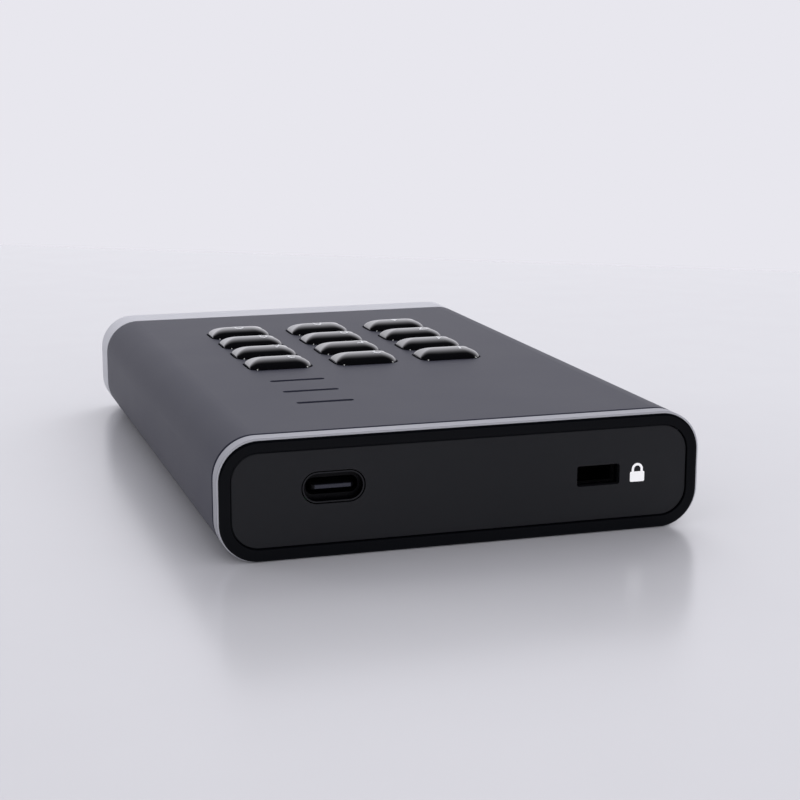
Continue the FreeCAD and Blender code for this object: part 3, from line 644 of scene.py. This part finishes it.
def makeFloor():
    look = grainLook(floorLook["dark"], floorLook["pale"], *floorLook["roughness"], bump=0.0,
                     grain=floorLook["grain"])
    shape = bmesh.new()
    bmesh.ops.create_grid(shape, x_segments=1, y_segments=1, size=floorLook["size"] / 2)
    start, end = (Vector((x, y, 0)) * mm for x, y in floorLook["farEdge"])
    beyond = Vector((0, 0, 1)).cross(end - start)
    bmesh.ops.bisect_plane(shape, geom=shape.verts[:] + shape.edges[:] + shape.faces[:], plane_co=start,
                           plane_no=beyond, clear_outer=True)
    mesh = bpy.data.meshes.new("floor")
    shape.to_mesh(mesh)
    shape.free()
    mesh.materials.append(makeFinish("floorFinish", look))
    floor = bpy.data.objects.new("floor", mesh)
    bpy.context.scene.collection.objects.link(floor)


cameraView = {
    "place": (-90.12, -316.0, 79.88),  # millimetres
    "turn": -17.273, "down": 11.8435, "roll": 0.04,  # degrees, the first from +Y
    "lens": 79.602, "sensor": 36,  # millimetres
    "nearest": 0.01,  # metres, where its sight starts
}


def makeCamera():
    turn, down, roll = (math.radians(cameraView[key]) for key in ("turn", "down", "roll"))
    ahead = Vector((-math.sin(turn) * math.cos(down), math.cos(turn) * math.cos(down), -math.sin(down)))
    right = ahead.cross(Vector((0, 0, 1))).normalized()
    above = right.cross(ahead)
    right, above = (right * math.cos(roll) + above * math.sin(roll),
                    above * math.cos(roll) - right * math.sin(roll))
    facing = Matrix((right, above, -ahead)).transposed().to_4x4()
    camera = bpy.data.objects.new("camera", bpy.data.cameras.new("camera"))
    camera.data.lens = cameraView["lens"]
    camera.data.sensor_width = cameraView["sensor"]
    camera.data.clip_start = cameraView["nearest"]
    camera.matrix_world = Matrix.Translation(Vector(cameraView["place"]) * mm) @ facing
    bpy.context.scene.collection.objects.link(camera)
    bpy.context.scene.camera = camera


lamps = {  # metres, sizes across and high
    "behind": {"place": (0.6, 1.15, 0.75), "aim": (0, 0, 0), "size": (1.3, 1.3), "power": 17},
    "fill": {"place": (0.2, -1.0, 0.15), "aim": (0, -0.06, 0.01), "size": (0.5, 0.5), "power": 5},
    "leftBack": {"place": (-0.9, 0.7, 0.14), "aim": (0, 0.04, 0.01), "size": (0.6, 0.25), "power": 4},
}
keyLamps = {  # tall strips that light the keys alone and make the glints at their feet
    "leftStrip": {"place": (-0.69, -0.7, 0.3), "aim": (0, 0, 0.02), "size": (0.12, 0.7), "power": 1.7},
    "rightStrip": {"place": (0.97, -0.24, 0.3), "aim": (0, 0, 0.02), "size": (0.12, 0.7), "power": 1.9},
}
studio = {
    "backdrop": (232, 231, 238),
    "plain": 0.98,  # level of the light from all round
    "front": 0.02,  # what polished faces see behind the camera and above
    "back": 1.29,  # what they see at the wall behind the object
    "turn": (-0.35, 0.45),  # from dark to pale, by the direction's Y
    "climb": (0.46, 0.86),  # from pale to dark, by the direction's Z
    "side": (-0.9, -0.44),  # from dark to pale, by the direction's X less a share of its Z
    "lean": 0.5,  # that share
    "foot": (0.1, 0.28),  # from the foot's level to the full one, by the direction's Z
    "footLevel": 0.78,  # share of the wall's level at its foot
}


def makeLamp(name, values):
    light = bpy.data.lights.new(name, "AREA")
    light.shape = "RECTANGLE"
    light.size, light.size_y = values["size"]
    light.energy = values["power"]
    lamp = bpy.data.objects.new(name, light)
    lamp.visible_camera = False
    lamp.visible_glossy = name in keyLamps
    if name in keyLamps:
        lamp.light_linking.receiver_collection = keyCaps
    place = Vector(values["place"])
    toward = Vector(values["aim"]) - place
    lamp.matrix_world = Matrix.Translation(place) @ toward.to_track_quat("-Z", "Y").to_matrix().to_4x4()
    bpy.context.scene.collection.objects.link(lamp)


def addMath(tree, operation, first, second):
    node = tree.nodes.new("ShaderNodeMath")
    node.operation = operation
    for socket, value in zip(node.inputs, (first, second)):
        if isinstance(value, bpy.types.NodeSocket):
            tree.links.new(value, socket)
        else:
            socket.default_value = value
    return node.outputs["Value"]


def addRamp(tree, source, ends, low, high, kind="SMOOTHSTEP"):
    ramp = tree.nodes.new("ShaderNodeMapRange")
    ramp.interpolation_type = kind
    ramp.inputs["From Min"].default_value, ramp.inputs["From Max"].default_value = ends
    ramp.inputs["To Min"].default_value = low
    ramp.inputs["To Max"].default_value = high
    tree.links.new(source, ramp.inputs["Value"])
    return ramp.outputs["Result"]


def seenRays(tree, path):
    # rays of the camera, and those that gloss and glass send on
    mirrored = addMath(tree, "MAXIMUM", path.outputs["Is Glossy Ray"], path.outputs["Is Transmission Ray"])
    return addMath(tree, "MAXIMUM", path.outputs["Is Camera Ray"], mirrored)


def wallLevel(tree):
    # brightness of what polished faces see, by direction
    coords = tree.nodes.new("ShaderNodeTexCoord")
    parts = tree.nodes.new("ShaderNodeSeparateXYZ")
    tree.links.new(coords.outputs["Generated"], parts.inputs["Vector"])
    x, y, z = (parts.outputs[axis] for axis in "XYZ")
    leaning = addMath(tree, "SUBTRACT", x, addMath(tree, "MULTIPLY", z, studio["lean"]))
    wall = addRamp(tree, y, studio["turn"], 0, 1)
    for share in (addRamp(tree, z, studio["climb"], 1, 0), addRamp(tree, leaning, studio["side"], 0, 1),
                  addRamp(tree, z, studio["foot"], studio["footLevel"], 1)):
        wall = addMath(tree, "MULTIPLY", wall, share)
    return addRamp(tree, wall, (0, 1), studio["front"], studio["back"], "LINEAR")


def makeWorld():
    # even light all round; the camera sees a plain pale backdrop, gloss and glass see it by the wall's level
    world = bpy.data.worlds.new("studio")
    world.use_nodes = True
    tree = world.node_tree
    light = tree.nodes["Background"]
    seen = tree.nodes.new("ShaderNodeBackground")
    for background in (light, seen):
        background.inputs["Color"].default_value = screenColour(*studio["backdrop"])
    light.inputs["Strength"].default_value = studio["plain"]
    path = tree.nodes.new("ShaderNodeLightPath")
    blend = tree.nodes.new("ShaderNodeMixShader")
    strength = tree.nodes.new("ShaderNodeMix")
    strength.inputs["B"].default_value = 1
    tree.links.new(path.outputs["Is Camera Ray"], strength.inputs["Factor"])
    tree.links.new(wallLevel(tree), strength.inputs["A"])
    tree.links.new(strength.outputs["Result"], seen.inputs["Strength"])
    tree.links.new(seenRays(tree, path), blend.inputs["Fac"])
    tree.links.new(light.outputs["Background"], blend.inputs[1])
    tree.links.new(seen.outputs["Background"], blend.inputs[2])
    tree.links.new(blend.outputs["Shader"], tree.nodes["World Output"].inputs["Surface"])
    bpy.context.scene.world = world


makeFloor()
makeCamera()
for lampName, lampValues in {**lamps, **keyLamps}.items():
    makeLamp(lampName, lampValues)
makeWorld()
bpy.context.scene.view_settings.view_transform = "Standard"
print("stage set")
